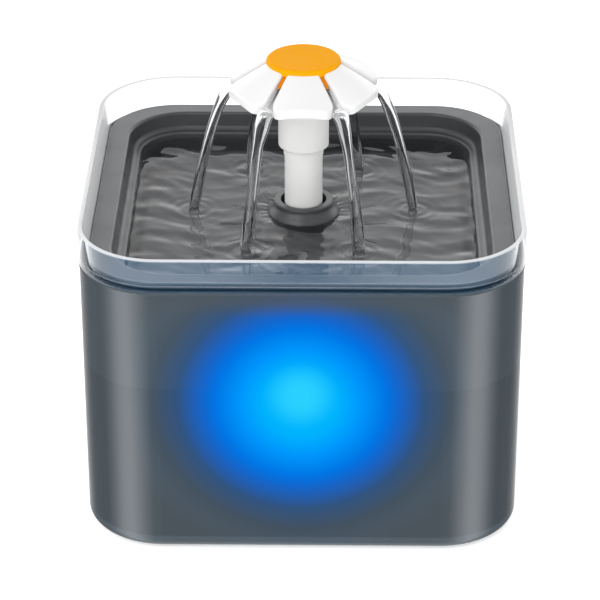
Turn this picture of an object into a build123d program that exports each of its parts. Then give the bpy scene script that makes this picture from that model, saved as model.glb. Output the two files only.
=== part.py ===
from build123d import *
from math import cos, radians, sin

# Pet water fountain: a rounded-square tank with a submersible pump, a clear collar on its rim, a
# drinking tray in the collar, a filter under the tray and a six-petal flower on the riser tube.
# Millimetres, +Z up, front towards -Y. The origin is the centre of the resting face.

# ---------------------------------------------------------------- driving dimensions

# Fits and clearances
running_fit = 0.08  # radial, parts that turn or slide in each other
push_fit = 0.05  # radial, parts that stay pushed together
seat_clearance = 0.3  # sideways, mouldings that drop into each other

# Tank
tank_width = 184.0
tank_height = 122.1
tank_wall = 2.4
tank_floor = 3.0
tank_base_fillet = 4.0
tank_inner_fillet = 2.5
bead_height = 1.8
bead_proud = 0.3
bead_fillet = 0.6

# Foot pads
foot_radius = 9.0
foot_thickness = 1.6
foot_proud = 0.8
foot_inset = 28.0  # foot centres, inside the tank's sides

# Clear collar
collar_overhang = 0.5  # over the tank's sides
collar_corner_radius = 34.0
collar_height = 15.1  # above the tank rim
collar_top_wall = 2.2
collar_foot_wall = 4.0
collar_top_fillet = 0.9
shadow_gap_height = 0.5
shadow_gap_depth = 1.4
ledge_rise = 0.5  # tray seat above the tank rim
ledge_width = 3.5
ledge_thickness = 2.4
spigot_depth = 5.4
spigot_wall = 2.4

# Tray
ring_thickness = 2.2
ring_edge_fillet = 0.8
ring_lip_width = 9.2  # flat ring, from its outer edge to the basin
tray_wall = 2.0
basin_corner_radius = 25.0
basin_edge_radius = 1.4
first_wall_drop = 7.6
first_wall_draft = 1.8
step_width = 3.4
step_foot_radius = 2.4
step_radius = 1.2
basin_depth = 25.6  # ring top to basin floor
basin_draft = 2.6
basin_floor_radius = 5.0
locating_rib_depth = 4.0
locating_rib_width = 1.8

# Tray boss, which the riser passes through
boss_hole_radius = 9.9
boss_lip_radius = 12.8
boss_lip_fillet = 0.8
boss_drop = 4.6  # its lip below the ring top
boss_flange_radius = 16.0
boss_flange_drop = 6.6  # widest line below the lip
boss_neck_radius = 14.0
boss_neck_drop = 10.6
boss_wall = 2.4
boss_shoulder_reach = 0.22  # of the way from lip to widest line
boss_shoulder_drop = 0.4
boss_flare_reach = 0.9
boss_flare_drop = 0.82

# Drain slots in the basin floor
drain_count = 12
drain_inner_radius = 24.0
drain_outer_radius = 36.0
drain_width = 3.0

# Filter chamber under the tray
chamber_half_width = 61.2
chamber_corner_radius = 21.2
chamber_wall = 1.8
chamber_depth = 16.0
core_tube_radius = 15.0
core_tube_wall = 2.0

# Filter cover and cartridge
cover_plate = 2.0
cover_rim_height = 6.0
cartridge_play = 0.6
cartridge_height = 13.4
cartridge_wall = 1.2
cartridge_floor = 1.0
lower_pad_height = 2.4
resin_height = 3.5
carbon_height = 4.5
upper_pad_height = 2.0
slot_width = 2.4
slot_length = 16.0
slot_margin = 1.0
slot_ring_gap = 4.0
inner_slot_count = 16
outer_slot_count = 24

# Pump
pump_half_width = 22.0
pump_front = 34.0  # in front of the riser axis
pump_back = 8.0  # behind the riser axis
pump_lift = 5.7  # over the tank floor
pump_height = 35.0
pump_corner_radius = 6.0
pump_edge_fillet = 2.0
pump_skin = 2.0
rotor_height = 17.5  # rotor axis over the pump underside
impeller_chamber_radius = 14.0
impeller_chamber_depth = 14.0
rotor_well_radius = 6.8
rotor_well_depth = 18.0
rotor_well_wall = 1.2
stator_cavity_half = 14.6
outlet_radius = 7.0
outlet_bore = 5.5
outlet_height = 10.5

# Stator
stator_radius = 14.2
stator_ring = 2.0
stator_length = 11.0
pole_width = 5.0
pole_shoe_width = 8.0
pole_shoe_height = 1.2
coil_thickness = 1.5

# Impeller, shaft and bushes
shaft_radius = 1.2
bush_radius = 3.0
bush_length = 3.0
bush_inset = 1.0  # back bush, inside the impeller chamber
magnet_radius = 6.0
impeller_radius = 12.6
impeller_hub_radius = 4.0
impeller_web = 1.2
blade_count = 6
blade_height = 9.0
blade_thickness = 1.2
blade_sweep = 34.0

# Impeller cover, intake cover, sponge and flow shutter
eye_radius = 7.0
impeller_cover_thickness = 2.0
plate_corner = 3.0
spider_arm_width = 1.8
intake_depth = 16.0
intake_wall = 1.6
intake_slot_count = 7
intake_slot_pitch = 4.6
intake_slot_height = 18.0
sponge_thickness = 7.0
shutter_thickness = 1.4
shutter_length = 33.0
shutter_height = 22.0
rail_width = 1.4
rail_lip = 1.2

# LED
led_height = 23.5  # lens axis over the pump underside
lens_flange_radius = 9.0
lens_flange_thickness = 1.2
lens_radius = 8.2
lens_bulge = 2.2
led_board_height = 16.0
led_board_thickness = 1.2
led_size = 3.5
led_thickness = 1.4
led_circle_radius = 4.6
led_count = 4

# Suction cups and cable parts
cup_radius = 8.0
cup_wall = 1.4
cup_stem_radius = 3.0
cup_stem_length = 2.2
cup_spacing_x = 26.0
cup_spacing_y = 26.0
gland_radius = 3.6
gland_length = 7.0
cable_bore = 1.8
notch_radius = 4.5
notch_depth = 6.0
grommet_flange = 1.4

# Riser and outlet coupler
riser_radius = 8.15
riser_wall = 1.8
riser_collar_radius = 8.5
riser_collar_height = 4.2
coupler_wall = 2.4
coupler_overlap = 8.0
coupler_stop = 1.0

# Flower stem
stem_drop = 37.0  # bottom of the sleeve, below the petals' seat
stem_radius = 10.8
stem_socket_depth = 11.0
stem_shoulder_drop = 18.0
stem_neck_radius = 8.0
stem_neck_drop = 6.0
stem_bore = 6.3
stem_edge_fillet = 0.5

# Petals
petal_count = 6
petal_seat_z = 184.0  # flat where the pistil rests
petal_slope = 27.0
petal_ridge_rise = 1.3  # middle line of the upper face over the seat, at the pistil's edge
petal_dome_radius = 27.0  # across the petal
petal_thickness = 3.0
petal_fillet = 1.4
petal_root_x = 10.0
petal_root_half = 4.9
petal_half_width = 12.5
petal_corner_radius = 5.0
petal_tip_radius = 32.2  # from the riser axis
channel_drop = 4.0  # channel floor below the petals' slope
channel_radius = 29.4
channel_shell = 1.4
hub_wall = 2.2

# Pistil cap
pistil_radius = 15.8
pistil_thickness = 3.1
pistil_edge_radius = 1.8
wedge_radius = 20.3
wedge_drop = 3.9
wedge_thickness = 1.5
wedge_tip = 0.5
wedge_root_half = 1.6
wedge_tip_half = 0.4
wedge_clearance = 0.2
plug_length = 8.0
plug_bore = 4.6
plug_slot_width = 3.2
plug_slot_count = 3

# ---------------------------------------------------------------- derived sizes

tank_half = tank_width / 2
collar_half = tank_half + collar_overhang
foot_spacing = tank_width - 2 * foot_inset
tank_inner_half = tank_half - tank_wall
underside_z = foot_proud
floor_z = underside_z + tank_floor
rim_z = underside_z + tank_height
collar_top_z = rim_z + collar_height

collar_inner_half = collar_half - collar_foot_wall
ledge_z = rim_z + ledge_rise
ledge_inner_half = collar_inner_half - ledge_width
spigot_outer_half = tank_inner_half - seat_clearance
spigot_inner_half = spigot_outer_half - spigot_wall

ring_half = collar_inner_half - seat_clearance
ring_z = ledge_z + ring_thickness
basin_half = ring_half - ring_lip_width
step_z = ring_z - first_wall_drop
basin_floor_z = ring_z - basin_depth
basin_under_z = basin_floor_z - tray_wall
wall_foot_half = basin_half - first_wall_draft
step_inner_half = wall_foot_half - step_width
basin_floor_half = step_inner_half - basin_draft
lip_z = ring_z - boss_drop

chamber_bottom_z = basin_under_z - chamber_depth
chamber_outer_half = chamber_half_width + chamber_wall
core_tube_outer = core_tube_radius + core_tube_wall
cover_top_z = chamber_bottom_z
cover_bottom_z = cover_top_z - cover_plate
cover_rim_inner = chamber_outer_half + seat_clearance
cover_half = cover_rim_inner + chamber_wall

cartridge_half = chamber_half_width - cartridge_play
cartridge_hole = core_tube_outer + cartridge_play
media_half = cartridge_half - cartridge_wall
media_hole = cartridge_hole + cartridge_wall
media_z = cover_top_z + cartridge_floor

pump_z = floor_z + pump_lift
pump_top_z = pump_z + pump_height
rotor_z = pump_z + rotor_height
chamber_front_y = pump_back - impeller_chamber_depth
well_front_y = chamber_front_y - rotor_well_depth
outlet_top_z = pump_top_z + outlet_height
cavity_half_width = pump_half_width - 2 * pump_skin
cavity_front_y = -pump_front + pump_skin
cavity_back_y = chamber_front_y - pump_skin
led_z = pump_z + led_height

stem_bottom_z = petal_seat_z - stem_drop
stem_shoulder_z = petal_seat_z - stem_shoulder_drop
stem_top_z = petal_seat_z - stem_neck_drop

riser_bottom_z = outlet_top_z + coupler_stop
riser_top_z = stem_bottom_z + stem_socket_depth
riser_bore = riser_radius - riser_wall
coupler_radius = riser_radius + coupler_wall


# ---------------------------------------------------------------- shared shapes


def corner_at(half_width):
    """Corner radius of a rounded square that runs parallel to the collar's outline."""
    return collar_corner_radius - (collar_half - half_width)


def parallel_square(half_width, mode=Mode.ADD):
    """Rounded square parallel to the collar's outline."""
    RectangleRounded(2 * half_width, 2 * half_width, corner_at(half_width), mode=mode)


def chamber_square(half_width, mode=Mode.ADD):
    """Rounded square parallel to the filter chamber's outline."""
    corner = chamber_corner_radius - (chamber_half_width - half_width)
    RectangleRounded(2 * half_width, 2 * half_width, corner, mode=mode)


def square_path(half_width, corner_radius):
    """Closed path round a rounded square, from the middle of its +X side."""
    straight = half_width - corner_radius
    with BuildLine() as path:
        edge = Line((half_width, 0), (half_width, straight))
        for side in range(4):
            edge = JernArc(start=edge @ 1, tangent=edge % 1, radius=corner_radius, arc_size=90)
            run = straight if side == 3 else 2 * straight
            edge = Line(edge @ 1, edge @ 1 + edge % 1 * run)
    return path.wire()


def facing_back(y):
    """Plane across the pump axis at y, with its normal towards the back and its y upwards."""
    return Plane(origin=(0, y, 0), x_dir=(-1, 0, 0), z_dir=(0, 1, 0))


def radial_slots(count, inner_radius, outer_radius, width):
    """Ring of straight slots that point at the centre."""
    middle = (inner_radius + outer_radius) / 2
    with PolarLocations(middle, count):
        Rectangle(outer_radius - inner_radius, width)


def finish(piece, label):
    """Names a finished piece and writes its file."""
    piece.part.label = label
    export_step(piece.part, "parts/" + label + ".step")


# ---------------------------------------------------------------- tank

foot_places = GridLocations(foot_spacing, foot_spacing, 2, 2)
foot_recess = foot_thickness - foot_proud

with BuildPart() as tank:
    with BuildSketch(Plane.XY.offset(underside_z)):
        parallel_square(tank_half)
    extrude(amount=tank_height)
    fillet(tank.faces().sort_by(Axis.Z)[0].edges(), radius=tank_base_fillet)
    with BuildSketch(Plane.XY.offset(rim_z - bead_height)):
        parallel_square(tank_half + bead_proud)
    extrude(amount=bead_height)
    fillet(tank.faces().sort_by(Axis.Z)[-1].edges(), radius=bead_fillet)
    with BuildSketch(Plane.XY.offset(floor_z)):
        parallel_square(tank_inner_half)
    extrude(amount=tank_height, mode=Mode.SUBTRACT)
    inner_floor = tank.faces().filter_by(Plane.XY).group_by(Axis.Z)[1].sort_by(SortBy.AREA)[-1]
    fillet(inner_floor.edges(), radius=tank_inner_fillet)
    with BuildSketch(Plane.XY.offset(underside_z)):
        with foot_places:
            Circle(foot_radius + push_fit)
    extrude(amount=foot_recess, mode=Mode.SUBTRACT)
    with BuildSketch(facing_back(tank_inner_half - tank_wall)):
        with Locations((0, rim_z - notch_depth + notch_radius)):
            Circle(notch_radius)
        with Locations((0, rim_z)):
            Rectangle(2 * notch_radius, 2 * (notch_depth - notch_radius))
    extrude(amount=4 * tank_wall, mode=Mode.SUBTRACT)
finish(tank, "tank")

with BuildPart() as foot_pads:
    with BuildSketch():
        with foot_places:
            Circle(foot_radius)
    extrude(amount=foot_thickness)
    fillet(foot_pads.faces().filter_by(Plane.XY).group_by(Axis.Z)[0].edges(), radius=foot_proud / 3)
finish(foot_pads, "foot_pads")

# The grommet fills the notch in the tank rim, with its flange inside. The cable bore is open.
with BuildPart() as cable_grommet:
    grommet_radius = notch_radius - push_fit
    bore_z = rim_z - notch_depth + notch_radius
    with BuildSketch(facing_back(tank_inner_half)):
        with Locations((0, bore_z)):
            Circle(grommet_radius)
        with Locations((0, (rim_z + bore_z) / 2)):
            Rectangle(2 * grommet_radius, rim_z - bore_z)
    extrude(amount=tank_wall)
    with BuildSketch(facing_back(tank_inner_half)):
        with Locations((0, bore_z)):
            Circle(notch_radius + grommet_flange)
    extrude(amount=-grommet_flange)
    split(bisect_by=Plane.XY.offset(rim_z), keep=Keep.BOTTOM)
    with BuildSketch(facing_back(tank_inner_half - tank_wall)):
        with Locations((0, bore_z)):
            Circle(cable_bore)
    extrude(amount=4 * tank_wall, mode=Mode.SUBTRACT)
finish(cable_grommet, "cable_grommet")

# ---------------------------------------------------------------- clear collar

with BuildPart() as clear_collar:
    with BuildSketch(Plane.XZ) as collar_section:
        with BuildLine():
            Polyline(
                (collar_half, rim_z + shadow_gap_height),
                (collar_half, collar_top_z),
                (collar_half - collar_top_wall, collar_top_z),
                (collar_inner_half, ledge_z),
                (ledge_inner_half, ledge_z),
                (ledge_inner_half, ledge_z - ledge_thickness),
                (spigot_inner_half, ledge_z - ledge_thickness),
                (spigot_inner_half, rim_z - spigot_depth),
                (spigot_outer_half, rim_z - spigot_depth),
                (spigot_outer_half, rim_z),
                (collar_half - shadow_gap_depth, rim_z),
                (collar_half - shadow_gap_depth, rim_z + shadow_gap_height),
                close=True,
            )
        make_face()
        fillet(collar_section.vertices().group_by(Axis.Y)[-1], radius=collar_top_fillet)
    sweep(path=square_path(collar_half, collar_corner_radius))
    cable_gap = 2 * (notch_radius + grommet_flange + seat_clearance)
    with BuildSketch(Plane.XY.offset(rim_z - spigot_depth)):
        with Locations((0, collar_inner_half)):
            Rectangle(cable_gap, 2 * (collar_inner_half - ledge_inner_half))
    extrude(amount=spigot_depth, mode=Mode.SUBTRACT)
finish(clear_collar, "clear_collar")

# ---------------------------------------------------------------- drinking tray

with BuildPart() as tray:
    # Stepped basin wall: the wet side from the ring to the floor, then back up the outside
    ring_join_half = basin_half + 2 * basin_edge_radius
    floor_join_half = basin_floor_half - 2 * basin_floor_radius
    with BuildSketch(Plane.XZ):
        with BuildLine():
            FilletPolyline(
                (ring_join_half, ring_z),
                (basin_half, ring_z),
                (wall_foot_half, step_z),
                (step_inner_half, step_z),
                (basin_floor_half, basin_floor_z),
                (floor_join_half, basin_floor_z),
                (floor_join_half, basin_under_z),
                (basin_floor_half + tray_wall, basin_under_z),
                (step_inner_half + tray_wall, step_z - tray_wall),
                (wall_foot_half + tray_wall, step_z - tray_wall),
                (basin_half + tray_wall, ledge_z),
                (ring_join_half, ledge_z),
                radius=[
                    0,
                    basin_edge_radius,
                    step_foot_radius,
                    step_radius,
                    basin_floor_radius,
                    0,
                    0,
                    basin_floor_radius,
                    step_radius,
                    step_radius,
                    0,
                    0,
                ],
                close=True,
            )
        make_face()
    sweep(path=square_path(basin_half, basin_corner_radius))
    # Flat ring and its locating rib
    ring_opening = ring_join_half - basin_edge_radius / 2
    ring_corner = basin_corner_radius + (ring_opening - basin_half)
    with BuildSketch(Plane.XY.offset(ledge_z)):
        parallel_square(ring_half)
        RectangleRounded(2 * ring_opening, 2 * ring_opening, ring_corner, mode=Mode.SUBTRACT)
    extrude(amount=ring_thickness)
    rib_half = ledge_inner_half - seat_clearance
    with BuildSketch(Plane.XY.offset(ledge_z)):
        parallel_square(rib_half)
        parallel_square(rib_half - locating_rib_width, mode=Mode.SUBTRACT)
    extrude(amount=-locating_rib_depth)
    fillet(tray.faces().sort_by(Axis.Z)[-1].outer_wire().edges(), radius=ring_edge_fillet)
    # Basin floor and the raised boss round the riser
    floor_half = floor_join_half + tray_wall
    floor_corner = basin_corner_radius - (basin_half - floor_half)
    with BuildSketch(Plane.XY.offset(basin_under_z)):
        RectangleRounded(2 * floor_half, 2 * floor_half, floor_corner)
    extrude(amount=tray_wall)
    boss_reach = boss_flange_radius - boss_lip_radius
    boss_shoulder_radius = boss_lip_radius + boss_shoulder_reach * boss_reach
    boss_flare_radius = boss_lip_radius + boss_flare_reach * boss_reach
    with BuildSketch(Plane.XZ):
        with BuildLine():
            Spline(
                (boss_lip_radius, lip_z),
                (boss_shoulder_radius, lip_z - boss_shoulder_drop * boss_flange_drop),
                (boss_flare_radius, lip_z - boss_flare_drop * boss_flange_drop),
                (boss_flange_radius, lip_z - boss_flange_drop),
            )
            Polyline(
                (boss_flange_radius, lip_z - boss_flange_drop),
                (boss_neck_radius, lip_z - boss_neck_drop),
                (boss_neck_radius, basin_floor_z),
                (boss_hole_radius, basin_floor_z),
                (boss_hole_radius, lip_z),
                (boss_lip_radius, lip_z),
            )
        make_face()
    revolve(axis=Axis.Z)
    lip_edges = tray.edges().filter_by(GeomType.CIRCLE).filter_by(lambda edge: edge.radius == boss_lip_radius)
    fillet(lip_edges, radius=boss_lip_fillet)
    # Way through for the riser, wide below the lip
    with BuildSketch(Plane.XY.offset(basin_under_z)):
        Circle(boss_neck_radius - boss_wall)
    extrude(amount=lip_z - boss_drop - basin_under_z, mode=Mode.SUBTRACT)
    # Drain slots over the filter
    with BuildSketch(Plane.XY.offset(basin_under_z)):
        radial_slots(drain_count, drain_inner_radius, drain_outer_radius, drain_width)
    extrude(amount=tray_wall, mode=Mode.SUBTRACT)
    # Filter chamber and core tube under the floor
    with BuildSketch(Plane.XY.offset(basin_under_z)):
        chamber_square(chamber_outer_half)
        chamber_square(chamber_half_width, mode=Mode.SUBTRACT)
    extrude(amount=-chamber_depth)
    with BuildSketch(Plane.XY.offset(basin_under_z)):
        Circle(core_tube_outer)
        Circle(core_tube_radius, mode=Mode.SUBTRACT)
    extrude(amount=-(chamber_depth + cover_plate))
finish(tray, "tray")

# ---------------------------------------------------------------- filter cover and cartridge


def flow_slots():
    """Two rings of radial slots over the filter media."""
    first = media_hole + slot_margin
    second = first + slot_length + slot_ring_gap
    radial_slots(inner_slot_count, first, first + slot_length, slot_width)
    radial_slots(outer_slot_count, second, second + slot_length, slot_width)


def media_layer(z, height):
    """One layer of the cartridge's filling, cut out round the core tube."""
    with BuildPart() as layer:
        with BuildSketch(Plane.XY.offset(z)):
            chamber_square(media_half)
            Circle(media_hole, mode=Mode.SUBTRACT)
        extrude(amount=height)
    return layer


with BuildPart() as filter_cover:
    with BuildSketch(Plane.XY.offset(cover_bottom_z)):
        chamber_square(cover_half)
        Circle(core_tube_outer + seat_clearance, mode=Mode.SUBTRACT)
    extrude(amount=cover_plate)
    fillet(filter_cover.faces().sort_by(Axis.Z)[0].outer_wire().edges(), radius=cover_plate / 2)
    with BuildSketch(Plane.XY.offset(cover_bottom_z)):
        flow_slots()
    extrude(amount=cover_plate, mode=Mode.SUBTRACT)
    with BuildSketch(Plane.XY.offset(cover_top_z)):
        chamber_square(cover_half)
        chamber_square(cover_rim_inner, mode=Mode.SUBTRACT)
    extrude(amount=cover_rim_height)
finish(filter_cover, "filter_cover")

with BuildPart() as filter_frame:
    with BuildSketch(Plane.XY.offset(cover_top_z)):
        chamber_square(cartridge_half)
        Circle(cartridge_hole, mode=Mode.SUBTRACT)
        with BuildSketch(mode=Mode.PRIVATE) as frame_slots:
            flow_slots()
        add(frame_slots.sketch, mode=Mode.SUBTRACT)
    extrude(amount=cartridge_floor)
    with BuildSketch(Plane.XY.offset(media_z)):
        chamber_square(cartridge_half)
        chamber_square(media_half, mode=Mode.SUBTRACT)
        Circle(media_hole)
        Circle(cartridge_hole, mode=Mode.SUBTRACT)
    extrude(amount=cartridge_height - cartridge_floor)
finish(filter_frame, "filter_frame")

resin_z = media_z + lower_pad_height
carbon_z = resin_z + resin_height
upper_pad_z = carbon_z + carbon_height
finish(media_layer(media_z, lower_pad_height), "lower_filter_pad")
finish(media_layer(resin_z, resin_height), "resin_bed")
finish(media_layer(carbon_z, carbon_height), "carbon_bed")
finish(media_layer(upper_pad_z, upper_pad_height), "upper_filter_pad")

# ---------------------------------------------------------------- pump

pump_middle_y = (pump_back - pump_front) / 2
cup_places = [
    (x * cup_spacing_x / 2, pump_middle_y + y * cup_spacing_y / 2) for x in (-1, 1) for y in (-1, 1)
]
pump_length = pump_back + pump_front
well_outer = rotor_well_radius + rotor_well_wall
bush_holder_radius = bush_radius + rotor_well_wall
stator_middle_y = (well_front_y + chamber_front_y) / 2
gland_y = stator_middle_y

with BuildPart() as pump_housing:
    with BuildSketch(Plane.XY.offset(pump_z)):
        with Locations((0, pump_middle_y)):
            Rectangle(2 * pump_half_width, pump_length)
    extrude(amount=pump_height)
    fillet(pump_housing.edges().filter_by(Axis.Z).group_by(Axis.Y)[0], radius=pump_corner_radius)
    fillet(pump_housing.faces().sort_by(Axis.Z)[-1].edges().sort_by(Axis.Y)[:-1], radius=pump_edge_fillet)
    # Outlet stub and impeller chamber
    with BuildSketch(Plane.XY.offset(pump_top_z)):
        Circle(outlet_radius)
    extrude(amount=outlet_height)
    with BuildSketch(facing_back(chamber_front_y)):
        with Locations((0, rotor_z)):
            Circle(impeller_chamber_radius)
    extrude(amount=impeller_chamber_depth, mode=Mode.SUBTRACT)
    with BuildSketch(Plane.XY.offset(rotor_z)):
        Circle(outlet_bore)
    extrude(amount=outlet_top_z - rotor_z, mode=Mode.SUBTRACT)
    # Stator cavity, with the rotor well standing in it
    with BuildSketch(facing_back(cavity_front_y)):
        with Locations((0, rotor_z)):
            Rectangle(2 * cavity_half_width, 2 * stator_cavity_half)
    extrude(amount=cavity_back_y - cavity_front_y, mode=Mode.SUBTRACT)
    with BuildSketch(facing_back(well_front_y - rotor_well_wall)):
        with Locations((0, rotor_z)):
            Circle(well_outer)
    extrude(amount=cavity_back_y - well_front_y + 2 * rotor_well_wall)
    with BuildSketch(facing_back(well_front_y)):
        with Locations((0, rotor_z)):
            Circle(rotor_well_radius)
    extrude(amount=rotor_well_depth, mode=Mode.SUBTRACT)
    with BuildSketch(facing_back(well_front_y)):
        with Locations((0, rotor_z)):
            Circle(bush_holder_radius)
            Circle(bush_radius + push_fit, mode=Mode.SUBTRACT)
    extrude(amount=bush_length)
    # Lens window with its seat, cable hole and suction cup holes
    with BuildSketch(facing_back(-pump_front)):
        with Locations((0, led_z)):
            Circle(lens_radius + push_fit)
    extrude(amount=pump_skin, mode=Mode.SUBTRACT)
    with BuildSketch(facing_back(-pump_front)):
        with Locations((0, led_z)):
            Circle(lens_flange_radius + push_fit)
    extrude(amount=lens_flange_thickness, mode=Mode.SUBTRACT)
    with BuildSketch(Plane.YZ.offset(cavity_half_width)):
        with Locations((gland_y, led_z)):
            Circle(gland_radius + push_fit)
    extrude(amount=pump_half_width - cavity_half_width, mode=Mode.SUBTRACT)
    with BuildSketch(Plane.XY.offset(pump_z)):
        with Locations(*cup_places):
            Circle(cup_stem_radius + push_fit)
    extrude(amount=cup_stem_length + push_fit, mode=Mode.SUBTRACT)
finish(pump_housing, "pump_housing")

with BuildPart() as suction_cups:
    cup_top = pump_lift + floor_z
    cup_crown = floor_z + pump_lift / 2
    with BuildSketch(Plane.XZ):
        with BuildLine():
            Polyline(
                (0, cup_crown),
                (cup_stem_radius, cup_crown),
                (cup_radius - cup_wall, floor_z),
                (cup_radius, floor_z),
                (cup_radius, floor_z + cup_wall / 2),
                (cup_stem_radius + cup_wall / 2, cup_crown + cup_wall),
                (cup_stem_radius + cup_wall / 2, cup_top),
                (cup_stem_radius, cup_top),
                (cup_stem_radius, cup_top + cup_stem_length),
                (0, cup_top + cup_stem_length),
                close=True,
            )
        make_face()
    cup = revolve(axis=Axis.Z, mode=Mode.PRIVATE)
    with Locations(*cup_places):
        add(cup)
finish(suction_cups, "suction_cups")

with BuildPart() as stator_core:
    with BuildSketch(facing_back(stator_middle_y - stator_length / 2)):
        with Locations((0, rotor_z)):
            Circle(stator_radius)
            Circle(stator_radius - stator_ring, mode=Mode.SUBTRACT)
            pole_root = stator_radius - stator_ring / 2
            with PolarLocations((well_outer + pole_root) / 2, 4):
                Rectangle(pole_root - well_outer, pole_width)
            with PolarLocations(well_outer + pole_shoe_height / 2, 4):
                Rectangle(pole_shoe_height, pole_shoe_width)
            Circle(well_outer + push_fit, mode=Mode.SUBTRACT)
    extrude(amount=stator_length)
finish(stator_core, "stator_core")

with BuildPart() as stator_coils:
    coil_inner = well_outer + pole_shoe_height + push_fit
    coil_half = pole_width / 2 + coil_thickness
    coil_outer = ((stator_radius - stator_ring) ** 2 - coil_half**2) ** 0.5 - push_fit
    with BuildSketch(facing_back(stator_middle_y - stator_length / 2 - coil_thickness)):
        with Locations((0, rotor_z)):
            with PolarLocations((coil_inner + coil_outer) / 2, 4):
                Rectangle(coil_outer - coil_inner, 2 * coil_half)
    extrude(amount=stator_length + 2 * coil_thickness)
    with BuildSketch(facing_back(stator_middle_y - stator_length / 2 - push_fit)):
        with Locations((0, rotor_z)):
            with PolarLocations((coil_inner + coil_outer) / 2, 4):
                Rectangle(2 * (coil_outer - coil_inner), pole_width + 2 * push_fit)
    extrude(amount=stator_length + 2 * push_fit, mode=Mode.SUBTRACT)
finish(stator_coils, "stator_coils")

# Front and back bush on the rotor axis, and the ceramic shaft that they hold
back_bush_y = pump_back - bush_inset
shaft_end_play = seat_clearance

with BuildPart() as shaft_bushes:
    for bush_y in (well_front_y, back_bush_y):
        with BuildSketch(facing_back(bush_y)):
            with Locations((0, rotor_z)):
                Circle(bush_radius)
                Circle(shaft_radius + push_fit, mode=Mode.SUBTRACT)
        extrude(amount=bush_length)
finish(shaft_bushes, "shaft_bushes")

shaft_start_y = well_front_y + shaft_end_play
shaft_end_y = back_bush_y + bush_length - shaft_end_play

with BuildPart() as impeller_shaft:
    with BuildSketch(facing_back(shaft_start_y)):
        with Locations((0, rotor_z)):
            Circle(shaft_radius)
    extrude(amount=shaft_end_y - shaft_start_y)
finish(impeller_shaft, "impeller_shaft")

magnet_start_y = well_front_y + bush_length + seat_clearance
magnet_end_y = chamber_front_y - seat_clearance
web_y = chamber_front_y + seat_clearance
hub_end_y = back_bush_y - seat_clearance

with BuildPart() as rotor_magnet:
    with BuildSketch(facing_back(magnet_start_y)):
        with Locations((0, rotor_z)):
            Circle(magnet_radius)
            Circle(shaft_radius + running_fit, mode=Mode.SUBTRACT)
    extrude(amount=magnet_end_y - magnet_start_y)
finish(rotor_magnet, "rotor_magnet")

with BuildPart() as impeller:
    with BuildSketch(facing_back(magnet_end_y)):
        with Locations((0, rotor_z)):
            Circle(impeller_hub_radius)
    extrude(amount=hub_end_y - magnet_end_y)
    with BuildSketch(facing_back(web_y)):
        with Locations((0, rotor_z)):
            Circle(impeller_radius)
    extrude(amount=impeller_web)
    blade_start = impeller_hub_radius - blade_thickness / 2
    blade_end = impeller_radius - blade_thickness / 2
    blade_middle = (blade_start + blade_end) / 2
    blade_line = ThreePointArc(
        (blade_start, 0),
        (blade_middle * cos(radians(blade_sweep / 3)), blade_middle * sin(radians(blade_sweep / 3))),
        (blade_end * cos(radians(blade_sweep)), blade_end * sin(radians(blade_sweep))),
        mode=Mode.PRIVATE,
    )
    with BuildSketch(facing_back(web_y + impeller_web)):
        with Locations((0, rotor_z)):
            with PolarLocations(0, blade_count):
                SlotArc(blade_line, blade_thickness)
    extrude(amount=blade_height)
    with BuildSketch(facing_back(magnet_end_y)):
        with Locations((0, rotor_z)):
            Circle(shaft_radius + running_fit)
    extrude(amount=hub_end_y - magnet_end_y, mode=Mode.SUBTRACT)
finish(impeller, "impeller")

# The impeller cover closes the chamber. Its lip locates the intake cover, and a three-armed
# spider in its eye holds the back bush.
lip_inset = intake_wall + running_fit
holder_end_y = back_bush_y + bush_length + rotor_well_wall

with BuildPart() as impeller_cover:
    with BuildSketch(facing_back(pump_back)):
        with Locations((0, pump_z + pump_height / 2)):
            RectangleRounded(2 * pump_half_width, pump_height, plate_corner)
        with Locations((0, rotor_z)):
            Circle(eye_radius, mode=Mode.SUBTRACT)
            with PolarLocations((eye_radius + bush_radius) / 2, 3):
                Rectangle(eye_radius - bush_radius + spider_arm_width, spider_arm_width)
    extrude(amount=impeller_cover_thickness)
    lip_width = 2 * (pump_half_width - lip_inset)
    lip_height = pump_height - 2 * lip_inset
    with BuildSketch(facing_back(pump_back + impeller_cover_thickness)):
        with Locations((0, pump_z + pump_height / 2)):
            RectangleRounded(lip_width, lip_height, plate_corner - intake_wall)
            RectangleRounded(
                lip_width - 2 * intake_wall,
                lip_height - 2 * intake_wall,
                plate_corner / 4,
                mode=Mode.SUBTRACT,
            )
    extrude(amount=3 * intake_wall / 2)
    with BuildSketch(facing_back(back_bush_y)):
        with Locations((0, rotor_z)):
            Circle(bush_holder_radius)
    extrude(amount=holder_end_y - back_bush_y)
    with BuildSketch(facing_back(back_bush_y)):
        with Locations((0, rotor_z)):
            Circle(bush_radius + push_fit)
    extrude(amount=bush_length, mode=Mode.SUBTRACT)
finish(impeller_cover, "impeller_cover")

cover_front_y = pump_back + impeller_cover_thickness
cover_back_y = cover_front_y + intake_depth
inner_width = 2 * (pump_half_width - intake_wall)
inner_height = pump_height - 2 * intake_wall
box_middle_z = pump_z + pump_height / 2


def intake_slots():
    """Row of upright slots in the intake cover and in the shutter over it."""
    with GridLocations(intake_slot_pitch, 1, intake_slot_count, 1):
        Rectangle(slot_width, intake_slot_height)


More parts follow.
